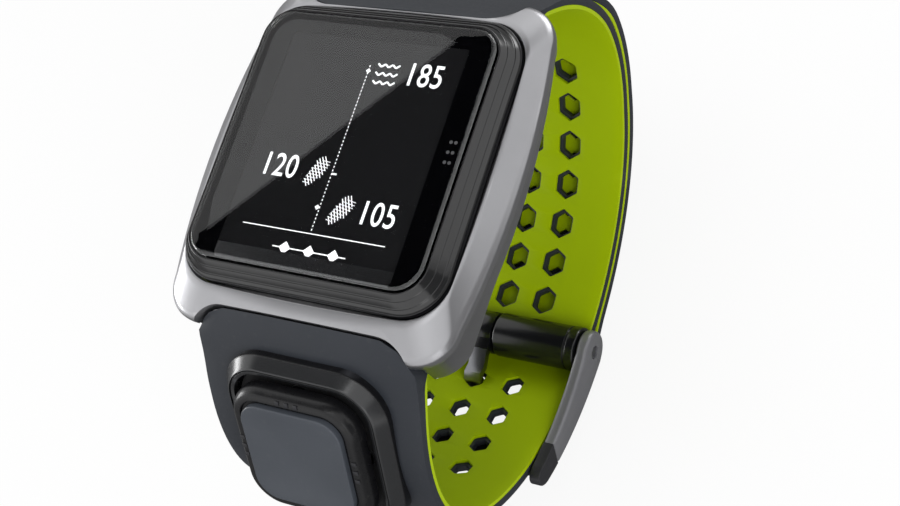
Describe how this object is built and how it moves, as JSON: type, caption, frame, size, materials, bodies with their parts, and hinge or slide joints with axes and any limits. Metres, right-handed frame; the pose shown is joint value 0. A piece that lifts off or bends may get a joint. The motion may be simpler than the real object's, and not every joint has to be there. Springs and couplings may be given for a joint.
{
  "type": "golf gps watch",
  "caption": "Wrist watch with a square display module in a metal frame, a two-layer strap with a hinged buckle, and a rocking button on the strap.",
  "frame": {"origin": "centre of the flat rear face that lies on the wrist", "axes": "+Z out of the display, +Y towards 12 o'clock along the strap, +X towards 3 o'clock"},
  "size_m": [0.0384, 0.0667, 0.05],
  "materials": {
    "cover_glass": "polished",
    "seal_rubber": "matte",
    "display": "gloss",
    "light_plate": "matte",
    "inner_plastic": "matte",
    "gloss_black": "gloss",
    "case_black": "satin",
    "steel": "brushed",
    "gold": "polished",
    "board_green": "satin",
    "ceramic": "matte",
    "cell_foil": "satin",
    "frame_metal": "satin bead-blasted",
    "lug_metal": "satin",
    "strap_dark": "matte",
    "strap_lime": "matte",
    "barrel_black": "gloss",
    "buckle_grey": "satin",
    "tang_metal": "satin",
    "pod_black": "satin",
    "collar_satin": "satin",
    "flex_amber": "satin",
    "pad_slate": "satin"
  },
  "bodies": {
    "root": {"display_glass": "cover_glass", "glass_gasket": "seal_rubber", "display_panel": "display", "backlight_plate": "light_plate", "display_carrier": "inner_plastic", "bezel": "gloss_black", "module_case": "case_black", "rear_cover": "case_black", "case_seal": "seal_rubber", "case_screws": "steel", "charging_contacts": "gold", "main_board": "board_green", "shield_can": "steel", "gps_antenna": "ceramic", "battery": "cell_foil", "vibration_motor": "steel", "metal_frame": "frame_metal", "cradle_ring": "seal_rubber", "strap_lugs": "lug_metal", "spring_bars": "steel", "strap_upper_outer": "strap_dark", "strap_upper_lining": "strap_lime", "strap_lower_outer": "strap_dark", "strap_lower_lining": "strap_lime", "hinge_barrel": "barrel_black", "hinge_pin": "steel", "pod_housing": "pod_black", "pod_collar": "collar_satin", "button_board": "board_green", "dome_switches": "steel", "button_flex": "flex_amber"},
    "buckle": {"buckle_frame": "buckle_grey"},
    "tang": {"tang": "tang_metal"},
    "gimbal": {"gimbal_ring": "steel"},
    "button": {"button_cap": "pod_black", "button_pad": "pad_slate"}
  },
  "joints": [
    {"name": "buckle_swing", "type": "hinge", "parent": "root", "child": "buckle", "pos_m": [0, -0.00495, -0.03251], "axis": [1, 0, 0], "range_deg": [0, 75]},
    {"name": "tang_play", "type": "hinge", "parent": "root", "child": "tang", "pos_m": [0, -0.00495, -0.03251], "axis": [1, 0, 0], "range_deg": [-2, 2]},
    {"name": "button_tilt", "type": "hinge", "parent": "root", "child": "gimbal", "pos_m": [0, -0.02958, -0.00063], "axis": [1, 0, 0], "range_deg": [-2.5, 2.5], "stiffness_Nm_per_rad": 0.1},
    {"name": "button_roll", "type": "hinge", "parent": "gimbal", "child": "button", "pos_m": [0, -0.02958, -0.00063], "axis": [0, 0.5834, 0.8122], "range_deg": [-2.5, 2.5], "stiffness_Nm_per_rad": 0.1}
  ]
}
